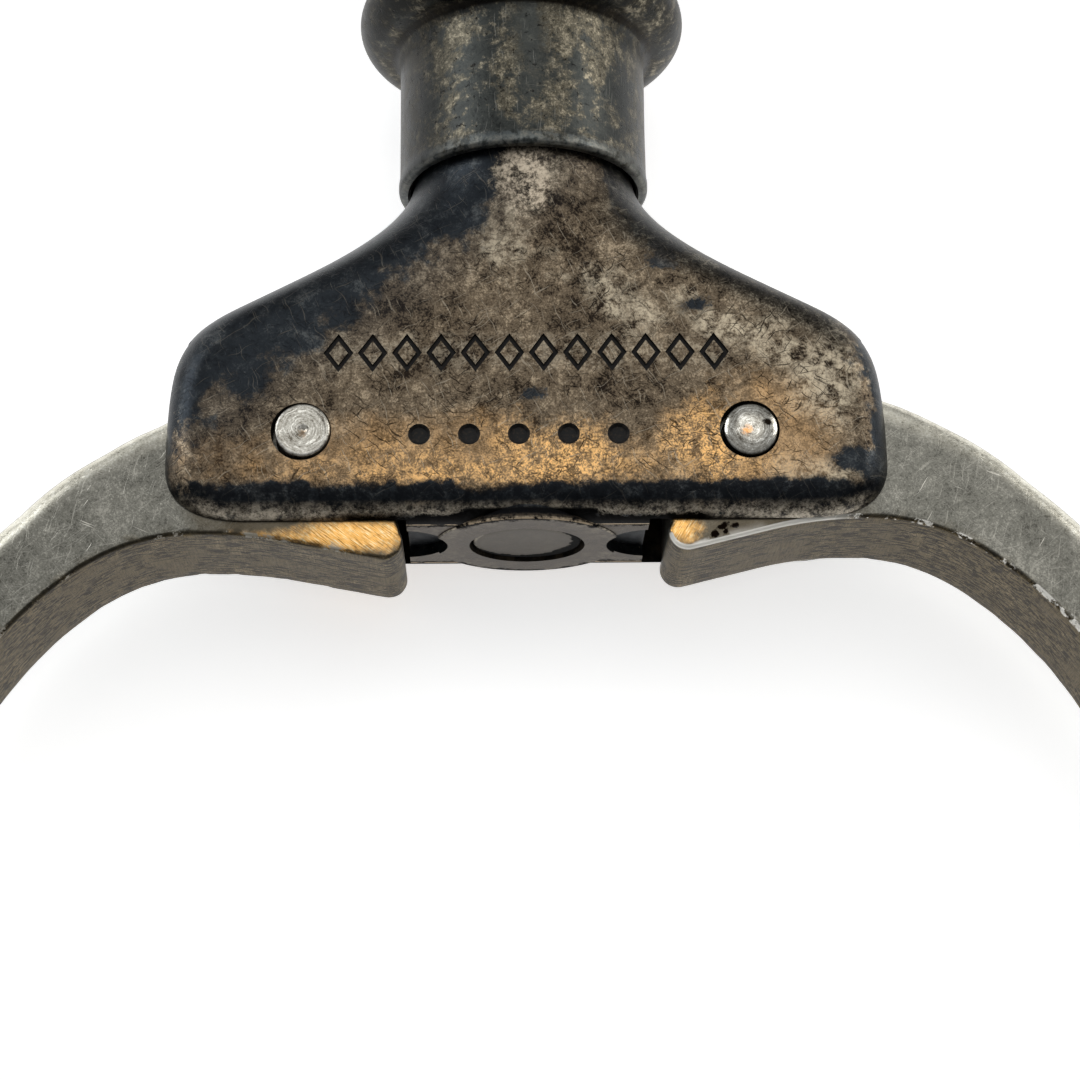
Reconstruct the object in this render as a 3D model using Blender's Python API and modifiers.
"""T-handled claw nippers: curved jaws on pins in a T-shaped casting, a ratchet plunger and a release collar.

Metres, +Z up. The tool lies on its back: X runs across the jaws, +Y runs from the jaws to the handle, and
+Z points out of the front face. The origin is the centre of the casting's flat back face, midway between the
two jaw pivots. Shapes are drawn about the tool's mid-plane, and one empty lifts them to their place.
"""

import math

import bmesh
import bpy
from mathutils import Matrix, Vector
from mathutils.geometry import interpolate_bezier

# Casting
BODY_THICKNESS = 0.0196
MID_Z = BODY_THICKNESS / 2
BODY_HALF_WIDTH = 0.03455
NOSE_Y = -0.0083
NOSE_EDGE_RADIUS = 0.0034
LOWER_CORNER_RADIUS = 0.0055
NOSE_BOSS_RADIUS = 0.0090
NOSE_BOSS_PROUD = 0.0002
NECK_RADIUS = 0.0110
NECK_START_Y = 0.0300
NECK_TOP_Y = 0.0450
SHOULDER = (0.02855, 0.01355)
SHOULDER_SLOPE = math.radians(29.3)
JAW_SLOT_NOSE_X = 0.0115
JAW_SLOT_SIDE_TOP_Y = 0.0110
NOSE_POCKET_X = 0.0122
NOSE_POCKET_RADIUS = 0.0045
NOSE_POCKET_DEPTH = 0.0011

# Jaws and their pivots
PIVOT_X = 0.02115
PIN_RADIUS = 0.0026
PIN_PROUD = 0.00045
PIN_TAIL_INSET = 0.0001
JAW_THICKNESS = 0.0143
JAW_CLEARANCE = 0.0003
JAW_BEVEL = 0.0006
HUB_RADIUS = 0.0080
HEEL_NOSE_RADIUS = 0.0018
JAW_TIP_RUN = 0.0146
# Band width at each distance along the inner edge from the end of the heel.
JAW_WIDTHS = (
    (0.0000, 0.0150),
    (0.0110, 0.0122),
    (0.0145, 0.0106),
    (0.0210, 0.0088),
    (0.0330, 0.0078),
    (0.0700, 0.0070),
    (0.1000, 0.0062),
    (0.1350, 0.0052),
)
# The two jaws differ a little, as hand-finished forgings do. For each: the heel's end, its slope, where its
# straight run stops, and then each stretch of the inner edge as a radius and the heading that it turns to.
JAW_SHAPES = {
    1: {
        "nose_centre": (0.0151, -0.00915),
        "rise": math.radians(14),
        "run_end": (0.0230, -0.00905),
        "arcs": (
            (0.0357, math.radians(-3)),
            (0.0186, math.radians(-34.5)),
            (0.0375, math.radians(-55)),
            (0.0410, math.radians(-90)),
            (0.0310, math.radians(-160)),
            (0.0800, math.radians(-176)),
        ),
        "width": 1.0,
    },
    -1: {
        "nose_centre": (0.0136, -0.0100),
        "rise": math.radians(10.7),
        "run_end": (0.0230, -0.0100),
        "arcs": (
            (0.0418, math.radians(-1)),
            (0.0195, math.radians(-37.5)),
            (0.0385, math.radians(-53)),
            (0.0410, math.radians(-90)),
            (0.0302, math.radians(-160)),
            (0.0800, math.radians(-176)),
        ),
        "width": 0.94,
    },
}

# Finger on each jaw, and the plunger groove that it turns in
FINGER_REACH = 0.0170
FINGER_TIP_RADIUS = 0.0016
FINGER_THICKNESS = 0.0040
FINGER_REST_ANGLE = math.radians(17)
GROOVE_CLEARANCE = 0.0002

# Plunger
PLUNGER_RADIUS = 0.0053
PLUNGER_BORE_RADIUS = 0.0056
PLUNGER_BORE_TOP_Y = 0.0118
PLUNGER_FACE_Y = -0.0082
GROOVE_CORE_RADIUS = 0.0022
ROD_RADIUS = 0.0034
ROD_BORE_RADIUS = 0.0037
ROD_TOP_Y = 0.0430
RATCHET_LOW_Y = 0.0292
RATCHET_PITCH = 0.0015
RATCHET_TEETH = 7
RATCHET_DEPTH = 0.0009

# Pawls in the neck
PAWL_PIVOT = (0.0080, 0.0385)
PAWL_THICKNESS = 0.0038
PAWL_PIN_RADIUS = 0.0011
PAWL_TIP = (0.00365, 0.0305)
PAWL_TOE = (0.0121, 0.0468)
PAWL_TOE_RADIUS = 0.0009
PAWL_SLOT_X = 0.0103
PAWL_SLOT_LOW_Y = 0.0286

# Release collar
COLLAR_LOW_Y = 0.0284
COLLAR_TOP_Y = 0.0558
COLLAR_RADIUS = 0.0126
COLLAR_BORE_RADIUS = 0.0114
COLLAR_CONE_Y = (0.0432, 0.0456)
COLLAR_RECESS_RADIUS = 0.0127
COLLAR_WEB_Y = (0.0483, 0.0493)
COLLAR_WEB_BORE = 0.0079
COLLAR_CUP_BORE = 0.0112
BEAD_Y = 0.04728
BEAD_CENTRE_RADIUS = 0.0135
BEAD_RADIUS = 0.00315

# Handle
STEM_RADIUS = 0.0075
STEM_SHOULDER_RADIUS = 0.0077
SPIGOT_RADIUS = 0.0052
SPIGOT_LOW_Y = 0.0363
STEM_BORE_TOP_Y = 0.0760
STEM_NECK_RADIUS = 0.0055
FERRULE_LOW_Y = 0.0546
FERRULE_TOP_Y = 0.0660
FERRULE_RADIUS = 0.0108
FERRULE_BORE = 0.0096
FERRULE_CEILING = 0.0018
GRIP_Y = 0.0840
GRIP_RADIUS = 0.0110
GRIP_END_RADIUS = 0.0098
GRIP_WALL = 0.0022
GRIP_HALF_LENGTH = 0.0440
GRIP_GROOVES = 3
GRIP_GROOVE_PITCH = 0.0068
GRIP_GROOVE_RADIUS = 0.0009
CAP_DOME = 0.0048
STEM_TOP_Y = 0.0985

GAP = 0.0003
ROUND = 32


def make_material(name, colour, roughness, metallic=1.0):
    material = bpy.data.materials.new(name)
    material.use_nodes = True
    shader = material.node_tree.nodes["Principled BSDF"]
    shader.inputs["Base Color"].default_value = (*colour, 1)
    shader.inputs["Roughness"].default_value = roughness
    shader.inputs["Metallic"].default_value = metallic
    return material


def reset_scene():
    for obj in list(bpy.data.objects):
        bpy.data.objects.remove(obj)
    for collection in list(bpy.data.collections):
        bpy.data.collections.remove(collection)


def new_collection(name, hidden=False):
    collection = bpy.data.collections.new(name)
    collection.hide_render = hidden
    bpy.context.scene.collection.children.link(collection)
    return collection


def place(obj, collection, material=None, parent=None):
    """Puts obj in a collection under the mid-plane empty, with its material."""
    collection.objects.link(obj)
    obj.parent = parent or middle
    if material:
        obj.data.materials.clear()
        obj.data.materials.append(material)
    if collection is cutters:
        obj.hide_render = True
        obj.display_type = "WIRE"
    return obj


def mesh_object(name, shape):
    """Turns a bmesh into an object with outward normals and smooth round faces."""
    bmesh.ops.recalc_face_normals(shape, faces=shape.faces)
    mesh = bpy.data.meshes.new(name)
    shape.to_mesh(mesh)
    shape.free()
    mesh.shade_smooth()
    mesh.set_sharp_from_angle(angle=math.radians(35))
    return bpy.data.objects.new(name, mesh)


def box(name, low, high):
    """A block between two opposite corners."""
    shape = bmesh.new()
    bmesh.ops.create_cube(shape, size=1)
    size = [b - a for a, b in zip(low, high)]
    centre = [(a + b) / 2 for a, b in zip(low, high)]
    bmesh.ops.scale(shape, vec=size, verts=shape.verts)
    bmesh.ops.translate(shape, vec=centre, verts=shape.verts)
    return mesh_object(name, shape)


def rod(name, radius, low, high, axis="Z", centre=(0, 0), segments=ROUND):
    """A cylinder from low to high along an axis; centre gives its place in the other two axes."""
    shape = bmesh.new()
    quarter = math.pi / 2
    turn = {"Z": Matrix(), "Y": Matrix.Rotation(quarter, 4, "X"), "X": Matrix.Rotation(quarter, 4, "Y")}
    middle_of = (low + high) / 2
    at = {
        "Z": (centre[0], centre[1], middle_of),
        "Y": (centre[0], middle_of, centre[1]),
        "X": (middle_of, centre[0], centre[1]),
    }
    bmesh.ops.create_cone(
        shape,
        cap_ends=True,
        segments=segments,
        radius1=radius,
        radius2=radius,
        depth=high - low,
        matrix=Matrix.Translation(at[axis]) @ turn[axis],
    )
    return mesh_object(name, shape)


def turned(name, profile, steps=ROUND, closed=False, axis="Y", smooth_angle=35):
    """Turns a profile of (radius, height) points, listed top to bottom down the outer side."""
    mesh = bpy.data.meshes.new(name)
    points = [(radius, 0, height) for radius, height in profile]
    count = len(points)
    edges = [(i, i + 1) for i in range(count - 1)]
    if closed:
        edges.append((count - 1, 0))
    mesh.from_pydata(points, edges, [])
    obj = bpy.data.objects.new(name, mesh)
    screw = obj.modifiers.new("turn", "SCREW")
    screw.steps = screw.render_steps = steps
    screw.use_merge_vertices = True
    screw.merge_threshold = 0.00002
    screw.use_smooth_shade = True
    if axis == "Y":
        obj.rotation_euler = (-math.pi / 2, 0, 0)
    else:
        obj.rotation_euler = (0, math.pi / 2, 0)
    return obj


def plate(name, outline, thickness):
    """A flat plate about the mid-plane from a closed outline of (x, y) points."""
    curve = bpy.data.curves.new(name, "CURVE")
    curve.dimensions = "2D"
    curve.fill_mode = "BOTH"
    curve.extrude = thickness / 2
    spline = curve.splines.new("POLY")
    spline.points.add(len(outline) - 1)
    for point, (x, y) in zip(spline.points, outline):
        point.co = (x, y, 0, 1)
    spline.use_cyclic_u = True
    return as_mesh(bpy.data.objects.new(name, curve))


def as_mesh(curve_object):
    """The mesh object that a curve object evaluates to, with its caps welded on."""
    name = curve_object.name
    scene_objects = bpy.context.scene.collection.objects
    scene_objects.link(curve_object)
    bpy.context.view_layer.update()
    graph = bpy.context.evaluated_depsgraph_get()
    mesh = bpy.data.meshes.new_from_object(curve_object.evaluated_get(graph))
    matrix = curve_object.matrix_world.copy()
    bpy.data.objects.remove(curve_object)
    shape = bmesh.new()
    shape.from_mesh(mesh)
    bmesh.ops.remove_doubles(shape, verts=shape.verts, dist=0.000002)
    bmesh.ops.dissolve_limit(shape, angle_limit=math.radians(0.5), verts=shape.verts, edges=shape.edges)
    obj = mesh_object(name, shape)
    obj.matrix_world = matrix
    return obj


def coil(name, radius, wire, low, high, turns, points_per_turn=10, sides=1):
    """An open compression spring along local Z, as a tube on a helix."""
    curve = bpy.data.curves.new(name, "CURVE")
    curve.dimensions = "3D"
    curve.bevel_depth = wire / 2
    curve.bevel_resolution = sides
    curve.use_fill_caps = True
    count = int(turns * points_per_turn) + 1
    spline = curve.splines.new("POLY")
    spline.points.add(count - 1)
    for i, point in enumerate(spline.points):
        angle = 2 * math.pi * i / points_per_turn
        height = low + wire / 2 + (high - low - wire) * i / (count - 1)
        point.co = (radius * math.cos(angle), radius * math.sin(angle), height, 1)
    return bpy.data.objects.new(name, curve)


def boolean(obj, operation, *others):
    """Cuts or joins other objects with obj, which keeps its modifiers."""
    for other in others:
        modifier = obj.modifiers.new(f"{operation.lower()} {other.name}", "BOOLEAN")
        modifier.operation = operation
        modifier.solver = "EXACT"
        modifier.object = other
    return obj


def bevelled(obj, width, segments=2, angle=40):
    bevel = obj.modifiers.new("edge", "BEVEL")
    bevel.width = width
    bevel.segments = segments
    bevel.limit_method = "ANGLE"
    bevel.angle_limit = math.radians(angle)
    bevel.use_clamp_overlap = True
    return obj


def smoothstep(low, high, value):
    t = min(max((value - low) / (high - low), 0), 1)
    return t * t * (3 - 2 * t)


def arc(centre, radius, start, end, steps):
    """Points on an arc, angles in radians, both ends included."""
    turn = (end - start) / steps
    return [
        (centre[0] + radius * math.cos(start + turn * i), centre[1] + radius * math.sin(start + turn * i))
        for i in range(steps + 1)
    ]


def mirrored(outline):
    """The outline reflected in x = 0, in an order that keeps its winding."""
    return [(-x, y) for x, y in reversed(outline)]


def side_name(base, side):
    return f"{base}_{'right' if side > 0 else 'left'}"


# ---------------------------------------------------------------- casting


def body_side():
    """The casting's right edge from the nose to the neck's top, as (x, y) points on Bezier curves."""
    corner = LOWER_CORNER_RADIUS
    quarter = 0.5523 * corner
    low = (BODY_HALF_WIDTH - corner, NOSE_Y)
    side = (BODY_HALF_WIDTH, NOSE_Y + corner)
    run = Vector((-math.cos(SHOULDER_SLOPE), math.sin(SHOULDER_SLOPE)))
    shoulder = Vector(SHOULDER)
    upper_pull = 0.0054
    slope_pull = 0.0092
    flare_pull = 0.0071
    neck = (NECK_RADIUS, NECK_START_Y)
    segments = (
        (low, (low[0] + quarter, low[1]), (side[0], side[1] - quarter), side, 7),
        (side, (side[0], 0.0090), shoulder - run * upper_pull, shoulder, 8),
        (shoulder, shoulder + run * slope_pull, (neck[0], neck[1] - flare_pull), neck, 10),
        (neck, (neck[0], 0.034), (neck[0], 0.040), (NECK_RADIUS, NECK_TOP_Y), 2),
    )
    points = []
    for start, handle1, handle2, end, count in segments:
        stretch = interpolate_bezier(
            *(Vector((p[0], p[1], 0)) for p in (start, handle1, handle2, end)), count
        )
        points += [(p.x, p.y) for p in (stretch if not points else stretch[1:])]
    return points


def body_section(half_width, y):
    """One ring of the casting: a rounded rectangle at the nose that turns into the round neck."""
    arc_steps = 6
    rise = y - NOSE_Y
    half_depth = BODY_THICKNESS / 2
    if rise < NOSE_EDGE_RADIUS:
        inset = NOSE_EDGE_RADIUS - math.sqrt(NOSE_EDGE_RADIUS**2 - (NOSE_EDGE_RADIUS - rise) ** 2)
        half_depth -= inset
    on_slope = smoothstep(0.006, 0.015, y)
    corner_x = 0.0038 + 0.0048 * on_slope
    corner_z = min(0.0038 + 0.0010 * on_slope, half_depth - 0.001)
    roundness = smoothstep(0.013, NECK_START_Y, y)
    quadrant = [(half_width, 0)]
    for i in range(arc_steps + 1):
        angle = math.pi / 2 * i / arc_steps
        x = half_width - corner_x * (1 - math.cos(angle))
        quadrant.append((x, half_depth - corner_z * (1 - math.sin(angle))))
    per_quadrant = len(quadrant)
    ring = []
    for k in range(4):
        for j in range(per_quadrant):
            # Even quadrants run from the side to the face, odd ones back again.
            point = quadrant[j] if k % 2 == 0 else ((0, half_depth), *reversed(quadrant[1:]))[j]
            sign_x = 1 if k in (0, 3) else -1
            sign_z = 1 if k in (0, 1) else -1
            angle = math.pi / 2 * (k + j / per_quadrant)
            round_x = half_width * math.cos(angle)
            round_z = NECK_RADIUS * math.sin(angle)
            x = sign_x * point[0] * (1 - roundness) + round_x * roundness
            z = sign_z * point[1] * (1 - roundness) + round_z * roundness
            ring.append((x, y, z))
    return ring


def body_blank():
    """The casting before machining, lofted through its rings."""
    shape = bmesh.new()
    rings = [[shape.verts.new(p) for p in body_section(x, y)] for x, y in body_side()]
    for lower, upper in zip(rings, rings[1:]):
        count = len(lower)
        for i in range(count):
            j = (i + 1) % count
            shape.faces.new((lower[i], lower[j], upper[j], upper[i]))
    shape.faces.new(rings[0])
    shape.faces.new(rings[-1])
    return mesh_object("body_casting", shape)


def jaw_slot(side):
    """The slot that one jaw turns in: round behind the hub, open at the nose and up the side."""
    hub = HUB_RADIUS + 0.0012
    outside = 0.045
    below = NOSE_Y - 0.006
    outline = [(outside, below), (outside, JAW_SLOT_SIDE_TOP_Y)]
    outline += arc((PIVOT_X, 0), hub, math.radians(92), math.radians(198), 12)
    outline += [(JAW_SLOT_NOSE_X, NOSE_Y + 0.0012), (JAW_SLOT_NOSE_X, below)]
    if side < 0:
        outline = mirrored(outline)
    return plate(side_name("cut_jaw_slot", side), outline, JAW_THICKNESS + 2 * JAW_CLEARANCE)


def body_casting():
    body = place(body_blank(), parts, plated_brass)
    boss = rod("join_nose_boss", NOSE_BOSS_RADIUS, NOSE_Y - NOSE_BOSS_PROUD, 0.010, "Y")
    boolean(body, "UNION", place(boss, cutters))
    cuts = [
        rod("cut_plunger_bore", PLUNGER_BORE_RADIUS, NOSE_Y - 0.005, PLUNGER_BORE_TOP_Y, "Y"),
        rod("cut_rod_bore", ROD_BORE_RADIUS, 0.010, NECK_TOP_Y + 0.005, "Y"),
        rod("cut_spigot_bore", SPIGOT_RADIUS + 0.00015, SPIGOT_LOW_Y - GAP, NECK_TOP_Y + 0.005, "Y"),
    ]
    window = FINGER_THICKNESS / 2 + 0.0002
    slot = PAWL_THICKNESS / 2 + 0.0002
    through = BODY_THICKNESS
    above = NECK_TOP_Y + 0.002
    for side in (1, -1):
        cuts.append(jaw_slot(side))
        near, far = sorted((side * 0.0030, side * 0.0150))
        name = side_name("cut_finger_window", side)
        cuts.append(box(name, (near, -0.0064, -window), (far, 0.0074, window)))
        name = side_name("cut_pivot_hole", side)
        cuts.append(rod(name, PIN_RADIUS + 0.00025, -through, through, "Z", (side * PIVOT_X, 0)))
        pocket = rod(
            side_name("cut_nose_pocket", side),
            NOSE_POCKET_RADIUS,
            NOSE_Y - 0.003,
            NOSE_Y + NOSE_POCKET_DEPTH,
            "Y",
            (side * NOSE_POCKET_X, 0),
        )
        cuts.append(pocket)
        near, far = sorted((side * 0.0030, side * PAWL_SLOT_X))
        name = side_name("cut_pawl_slot", side)
        cuts.append(box(name, (near, PAWL_SLOT_LOW_Y, -slot), (far, above, slot)))
        near, far = sorted((side * 0.0050, side * 0.0140))
        name = side_name("cut_toe_slot", side)
        cuts.append(box(name, (near, 0.0412, -slot), (far, above, slot)))
        centre = (side * PAWL_PIVOT[0], PAWL_PIVOT[1])
        name = side_name("cut_pawl_pin", side)
        cuts.append(rod(name, PAWL_PIN_RADIUS + 0.0001, -through, through, "Z", centre, 16))
    boolean(body, "DIFFERENCE", *(place(cut, cutters) for cut in cuts))


# ---------------------------------------------------------------- jaws


def jaw_path(shape):
    """The inner edge of a jaw from the heel to the tip, as (point, heading) pairs."""
    heading = shape["rise"]
    under = Vector((math.sin(heading), -math.cos(heading))) * HEEL_NOSE_RADIUS
    start = Vector(shape["nose_centre"]) + under
    end = Vector(shape["run_end"])
    path = [(start, heading), (end, heading)]
    for radius, turn_to in shape["arcs"]:
        steps = max(2, round(abs(turn_to - heading) / math.radians(7)))
        at = path[-1][0]
        centre = at + radius * Vector((math.sin(heading), -math.cos(heading)))
        for i in range(1, steps + 1):
            now = heading + (turn_to - heading) * i / steps
            path.append((centre + radius * Vector((-math.sin(now), math.cos(now))), now))
        heading = turn_to
    run = Vector((math.cos(heading), math.sin(heading))) * JAW_TIP_RUN
    path.append((path[-1][0] + run, heading))
    return path


def jaw_width(distance):
    """The band's width at a distance along the inner edge, between the two nearest entries."""
    for (low, width_low), (high, width_high) in zip(JAW_WIDTHS, JAW_WIDTHS[1:]):
        if distance <= high:
            return width_low + (width_high - width_low) * (distance - low) / (high - low)
    return JAW_WIDTHS[-1][1]


def jaw_outline(side):
    """One jaw's closed outline in the plane that it turns in, as if it were the right one."""
    shape = JAW_SHAPES[side]
    path = jaw_path(shape)
    inner = [(p.x, p.y) for p, _ in path]
    outer = []
    distance = 0
    for (before, _), (point, heading) in zip(path[1:], path[2:]):
        distance += (point - before).length
        if distance < 0.0090:
            continue
        width = jaw_width(distance) * shape["width"]
        outer.append(tuple(point + Vector((-math.sin(heading), math.cos(heading))) * width))
    tip_point, tip_heading = path[-1]
    half = (Vector(outer[-1]) - tip_point).length / 2
    tip_centre = (tip_point + Vector(outer[-1])) / 2
    tip = arc(tuple(tip_centre), half, tip_heading - math.pi / 2, tip_heading + math.pi / 2, 8)[1:-1]
    hub = arc((PIVOT_X, 0), HUB_RADIUS, math.radians(72), math.radians(200), 12)
    rise = shape["rise"]
    nose = arc(shape["nose_centre"], HEEL_NOSE_RADIUS, math.radians(150), rise + math.pi * 1.5, 6)[:-1]
    return inner + tip + list(reversed(outer)) + hub + nose


def finger(side):
    """The thin lever on the jaw's hub whose round tip turns in the plunger's groove."""
    angle = math.pi - FINGER_REST_ANGLE
    direction = Vector((math.cos(angle), math.sin(angle)))
    across = Vector((-direction.y, direction.x))
    pivot = Vector((PIVOT_X, 0))
    tip = pivot + direction * FINGER_REACH
    root = pivot + direction * HUB_RADIUS * 0.6
    outline = [tuple(root - across * 0.0030), tuple(root + across * 0.0030)]
    outline += [tuple(pivot + direction * 0.0125 + across * 0.0012)]
    half_turn = math.radians(100)
    outline += arc(tuple(tip), FINGER_TIP_RADIUS, angle + half_turn, angle - half_turn, 10)
    outline += [tuple(pivot + direction * 0.0125 - across * 0.0012)]
    if side < 0:
        outline = mirrored(outline)
    return plate(side_name("join_finger", side), outline, FINGER_THICKNESS)


def jaw(side):
    outline = jaw_outline(side)
    if side < 0:
        outline = mirrored(outline)
    made = place(plate(side_name("jaw", side), outline, JAW_THICKNESS), parts, nickel_steel)
    bevelled(made, JAW_BEVEL, 1, 50)
    boolean(made, "UNION", place(finger(side), cutters))
    hole = rod(side_name("cut_jaw_hole", side), PIN_RADIUS + 0.0001, -0.012, 0.012, "Z", (side * PIVOT_X, 0))
    boolean(made, "DIFFERENCE", place(hole, cutters))
    set_origin(made, (side * PIVOT_X, 0, 0))


def pivot_pin(side):
    """A pin peened over in front, with its tail just under the casting's back face."""
    front = BODY_THICKNESS / 2 + PIN_PROUD
    back = -BODY_THICKNESS / 2 + PIN_TAIL_INSET
    dome = 0.0006
    profile = [(0, front), (PIN_RADIUS * 0.55, front - dome * 0.2), (PIN_RADIUS * 0.88, front - dome * 0.6)]
    profile += [(PIN_RADIUS, front - dome * 1.2), (PIN_RADIUS, back), (0, back)]
    pin = turned(side_name("pivot_pin", side), profile)
    pin.rotation_euler = (0, 0, 0)
    place(pin, parts, bright_steel)
    pin.location = (side * PIVOT_X, 0, 0)


# ---------------------------------------------------------------- plunger and ratchet


def plunger():
    """Button, finger groove, guide and ratchet rod, turned from one bar."""
    finger_y = FINGER_REACH * math.sin(FINGER_REST_ANGLE)
    groove_low = finger_y - FINGER_TIP_RADIUS - GROOVE_CLEARANCE
    groove_high = finger_y + FINGER_TIP_RADIUS + GROOVE_CLEARANCE
    guide_top = groove_high + 0.0042
    chamfer = 0.0003
    crest, root = ROD_RADIUS, ROD_RADIUS - RATCHET_DEPTH
    profile = [(0, ROD_TOP_Y), (root, ROD_TOP_Y), (root, ROD_TOP_Y - 0.0015), (crest, ROD_TOP_Y - 0.002)]
    ratchet_top = RATCHET_LOW_Y + RATCHET_TEETH * RATCHET_PITCH
    for i in range(RATCHET_TEETH):
        y = ratchet_top - i * RATCHET_PITCH
        # Each tooth has a flat face below, which the pawl holds, and a slope above, which it rides over.
        profile += [(crest, y), (root, y - 0.0003), (root, y - 0.0006)]
    profile += [(crest, RATCHET_LOW_Y)]
    profile += [(crest, guide_top), (PLUNGER_RADIUS - chamfer, guide_top)]
    profile += [(PLUNGER_RADIUS, guide_top - chamfer)]
    profile += [(PLUNGER_RADIUS, groove_high), (GROOVE_CORE_RADIUS, groove_high)]
    profile += [(GROOVE_CORE_RADIUS, groove_low), (PLUNGER_RADIUS, groove_low)]
    profile += [(PLUNGER_RADIUS, PLUNGER_FACE_Y + chamfer), (PLUNGER_RADIUS - chamfer, PLUNGER_FACE_Y)]
    profile += [(0, PLUNGER_FACE_Y)]
    place(turned("plunger", profile, steps=24), parts, worn_steel)


def pawl(side):
    """A flat lever on a pin: its tooth rides the ratchet rod, and its toe stands in the collar's recess."""
    px, py = PAWL_PIVOT
    tip_x, tip_y = PAWL_TIP
    toe_x, toe_y = PAWL_TOE
    toe_centre = (toe_x - PAWL_TOE_RADIUS, toe_y)
    outline = [(tip_x, tip_y - 0.0006), (tip_x, tip_y + 0.0002), (tip_x + 0.0020, tip_y + 0.0018)]
    outline += [(px - 0.0018, py - 0.0030), (px - 0.0018, py + 0.0030), (px + 0.0004, py + 0.0060)]
    outline += arc(toe_centre, PAWL_TOE_RADIUS, math.radians(100), math.radians(-50), 6)
    outline += [(px + 0.0021, py + 0.0052), (px + 0.0018, py - 0.0030), (tip_x + 0.0033, tip_y - 0.0010)]
    if side > 0:
        outline.reverse()
    else:
        outline = [(-x, y) for x, y in outline]
    made = place(plate(side_name("pawl", side), outline, PAWL_THICKNESS), parts, worn_steel)
    name = side_name("cut_pawl_hole", side)
    hole = rod(name, PAWL_PIN_RADIUS + 0.0001, -0.01, 0.01, "Z", (side * px, py), 16)
    boolean(made, "DIFFERENCE", place(hole, cutters))
    set_origin(made, (side * px, py, 0))


def pawl_pin(side):
    px, py = PAWL_PIVOT
    half = 0.0065
    pin = rod(side_name("pawl_pin", side), PAWL_PIN_RADIUS, -half, half, "Z", (side * px, py), 16)
    place(pin, parts, worn_steel)


def pawl_spring(side):
    """A small coil between the stem's spigot and the pawl that keeps the pawl's tooth on the rod."""
    low, high = SPIGOT_RADIUS + 0.0001, 0.0061
    spring = coil(side_name("pawl_spring", side), 0.0009, 0.00022, low, high, 3, 8)
    place(spring, parts, spring_steel)
    spring.rotation_euler = (0, side * math.pi / 2, 0)
    spring.location = (0, PAWL_PIVOT[1] + 0.0020, 0)


# ---------------------------------------------------------------- collar


def release_collar():
    """The sleeve with a rounded bead that two fingers pull, with a cone inside that frees the pawls."""
    bead = arc((BEAD_CENTRE_RADIUS, BEAD_Y), BEAD_RADIUS, math.radians(100), math.radians(-90), 10)
    cove = 0.0011
    cone_low, cone_high = COLLAR_CONE_Y
    web_low, web_high = COLLAR_WEB_Y
    rim = 0.0004
    skirt = bead[0][1] + 0.0002
    profile = [(COLLAR_CUP_BORE, COLLAR_TOP_Y), (COLLAR_RADIUS - rim, COLLAR_TOP_Y)]
    profile += [(COLLAR_RADIUS, COLLAR_TOP_Y - rim), (COLLAR_RADIUS, skirt)]
    profile += bead
    profile += [(COLLAR_RADIUS + cove * 0.35, bead[-1][1] - cove * 0.25), (COLLAR_RADIUS, bead[-1][1] - cove)]
    profile += [(COLLAR_RADIUS, COLLAR_LOW_Y + rim * 2), (COLLAR_RADIUS - rim, COLLAR_LOW_Y)]
    profile += [(COLLAR_BORE_RADIUS + rim, COLLAR_LOW_Y), (COLLAR_BORE_RADIUS, COLLAR_LOW_Y + rim)]
    profile += [(COLLAR_BORE_RADIUS, cone_low), (COLLAR_RECESS_RADIUS, cone_high)]
    profile += [(COLLAR_RECESS_RADIUS, web_low), (COLLAR_WEB_BORE, web_low), (COLLAR_WEB_BORE, web_high)]
    profile += [(COLLAR_CUP_BORE, web_high)]
    place(turned("release_collar", profile, steps=48, closed=True), parts, plated_brass)


def collar_spring():
    low = COLLAR_WEB_Y[1] + 0.0001
    high = FERRULE_TOP_Y - FERRULE_CEILING - 0.0001
    spring = place(coil("collar_spring", 0.0087, 0.0010, low, high, 5, 12), parts, spring_steel)
    spring.rotation_euler = (-math.pi / 2, 0, 0)


# ---------------------------------------------------------------- handle


def handle_stem():
    """A hollow stem screwed into the neck; the rod's spring sits in its bore."""
    shoulder_low = NECK_TOP_Y + GAP
    grip_low = GRIP_Y - GRIP_RADIUS
    profile = [
        (0, STEM_TOP_Y),
        (0.0042, STEM_TOP_Y),
        (0.0048, STEM_TOP_Y - 0.0006),
        (0.0048, GRIP_Y + GRIP_RADIUS + 0.0004),
        (STEM_NECK_RADIUS, GRIP_Y + GRIP_RADIUS - 0.0004),
        (STEM_NECK_RADIUS, grip_low - GAP),
        (STEM_RADIUS, grip_low - GAP),
        (STEM_RADIUS, FERRULE_TOP_Y + GAP),
        (STEM_RADIUS - 0.0004, FERRULE_TOP_Y + GAP),
        (STEM_RADIUS - 0.0004, shoulder_low + 0.0020),
        (STEM_SHOULDER_RADIUS, shoulder_low + 0.0016),
        (STEM_SHOULDER_RADIUS, shoulder_low),
        (SPIGOT_RADIUS, shoulder_low),
        (SPIGOT_RADIUS, SPIGOT_LOW_Y),
        (ROD_BORE_RADIUS, SPIGOT_LOW_Y),
        (ROD_BORE_RADIUS, STEM_BORE_TOP_Y),
        (0, STEM_BORE_TOP_Y + 0.0012),
    ]
    place(turned("handle_stem", profile), parts, plated_brass)


def return_spring():
    """The spring above the ratchet rod that pushes the plunger down and opens the jaws."""
    spring = coil("return_spring", 0.0029, 0.0007, ROD_TOP_Y + 0.0001, STEM_BORE_TOP_Y - 0.0001, 10, 10)
    place(spring, parts, spring_steel).rotation_euler = (-math.pi / 2, 0, 0)


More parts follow.
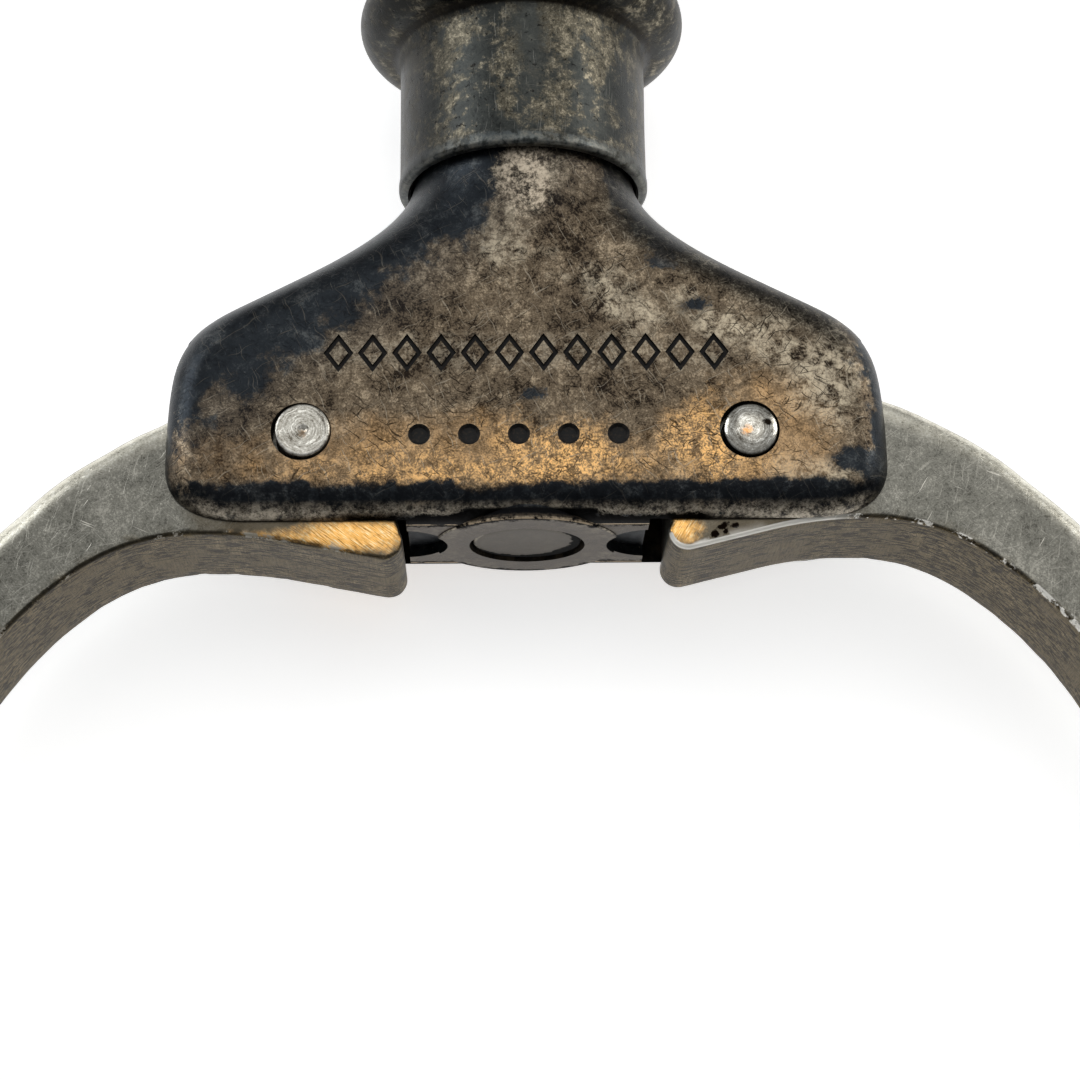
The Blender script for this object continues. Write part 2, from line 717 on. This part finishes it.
def ferrule():
    """The fixed cup over the collar's spring; the collar's top slides up around it."""
    ceiling = FERRULE_TOP_Y - FERRULE_CEILING
    profile = [
        (STEM_RADIUS - 0.0004 + 0.00015, FERRULE_TOP_Y),
        (FERRULE_RADIUS - 0.0020, FERRULE_TOP_Y),
        (FERRULE_RADIUS - 0.0006, FERRULE_TOP_Y - 0.0006),
        (FERRULE_RADIUS, FERRULE_TOP_Y - 0.0020),
        (FERRULE_RADIUS, FERRULE_LOW_Y),
        (FERRULE_BORE, FERRULE_LOW_Y),
        (FERRULE_BORE, ceiling),
        (STEM_RADIUS - 0.0004 + 0.00015, ceiling),
    ]
    place(turned("spring_ferrule", profile, closed=True), parts, plated_brass)


def grip_radius(x):
    """The grip's barrel shape: widest in the middle, with shallow turned grooves near each end."""
    share = abs(x) / GRIP_HALF_LENGTH
    return GRIP_RADIUS - (GRIP_RADIUS - GRIP_END_RADIUS) * share**2


def grip():
    """The hollow cross bar, bored through for the stem, and its two pressed-in end caps."""
    outer = []
    steps = 16
    grooves = [0.0205 + i * GRIP_GROOVE_PITCH for i in range(GRIP_GROOVES)]
    stations = [GRIP_HALF_LENGTH - 2 * GRIP_HALF_LENGTH * i / steps for i in range(steps + 1)]
    clear = GRIP_GROOVE_RADIUS * 1.5
    stations = [x for x in stations if all(abs(abs(x) - g) > clear for g in grooves)]
    for centre in grooves:
        for side in (1, -1):
            stations += [side * centre + GRIP_GROOVE_RADIUS * k / 2 for k in (-2, -1, 0, 1, 2)]
    for x in sorted(stations, reverse=True):
        nearest = min(abs(abs(x) - g) for g in grooves)
        dip = 0.6 * math.sqrt(max(GRIP_GROOVE_RADIUS**2 - nearest**2, 0))
        outer.append((grip_radius(x) - dip, x))
    bore = GRIP_END_RADIUS - GRIP_WALL
    profile = outer + [(bore, -GRIP_HALF_LENGTH), (bore, GRIP_HALF_LENGTH)]
    bar = place(turned("grip_bar", profile, closed=True, axis="X"), parts, plated_brass)
    bar.location = (0, GRIP_Y, 0)
    hole = rod("cut_grip_hole", STEM_NECK_RADIUS + 0.0002, GRIP_Y - 0.02, GRIP_Y + 0.02, "Y")
    boolean(bar, "DIFFERENCE", place(hole, cutters))
    for side in (1, -1):
        end = GRIP_HALF_LENGTH + 0.0001
        dome = []
        for i in range(7):
            angle = math.pi / 2 * (1 - i / 6)
            dome.append((GRIP_END_RADIUS * math.cos(angle), end + CAP_DOME * math.sin(angle)))
        plug = [(bore - 0.0001, end), (bore - 0.0001, end - 0.0060), (0, end - 0.0060)]
        cap = place(turned(side_name("grip_cap", side), dome + plug, axis="X"), parts, plated_brass)
        cap.location = (0, GRIP_Y, 0)
        cap.rotation_euler = (0, side * math.pi / 2, 0)


def grip_fasteners():
    """A saddle washer and a dome nut that clamp the grip on the stem."""
    washer_low = GRIP_Y + GRIP_RADIUS + 0.0003
    washer_top = washer_low + 0.0011
    washer = [(0.0085, washer_top), (0.0085, washer_low), (0.0050, washer_low), (0.0050, washer_top)]
    place(turned("grip_washer", washer, closed=True), parts, nickel_steel)
    nut_low = washer_top + 0.0002
    nut_high = STEM_TOP_Y + 0.0004
    profile = []
    dome_height = 0.0036
    for i in range(7):
        angle = math.pi / 2 * (1 - i / 6)
        profile.append((0.0066 * math.cos(angle), nut_high + 0.0002 + dome_height * math.sin(angle) - 0.0010))
    profile += [(0.0071, nut_high - 0.0012), (0.0071, nut_low)]
    profile += [(0.0050, nut_low), (0.0050, nut_high), (0, nut_high)]
    place(turned("dome_nut", profile), parts, nickel_steel)


def set_origin(obj, point):
    """Moves the object's origin to a point of its own space and leaves its shape where it is."""
    obj.data.transform(Matrix.Translation(-Vector(point)))
    obj.location = point


reset_scene()
parts = new_collection("claw_grip")
cutters = new_collection("cutters", hidden=True)
middle = bpy.data.objects.new("mid_plane", None)
parts.objects.link(middle)
middle.location = (0, 0, MID_Z)

plated_brass = make_material("plated_brass", (0.30, 0.27, 0.23), 0.42)
nickel_steel = make_material("nickel_steel", (0.56, 0.55, 0.52), 0.34)
bright_steel = make_material("bright_steel", (0.66, 0.65, 0.62), 0.28)
worn_steel = make_material("worn_steel", (0.36, 0.34, 0.32), 0.45)
spring_steel = make_material("spring_steel", (0.32, 0.32, 0.34), 0.38)

body_casting()
for each_side in (1, -1):
    jaw(each_side)
    pivot_pin(each_side)
    pawl(each_side)
    pawl_pin(each_side)
    pawl_spring(each_side)
plunger()
release_collar()
collar_spring()
handle_stem()
return_spring()
ferrule()
grip()
grip_fasteners()
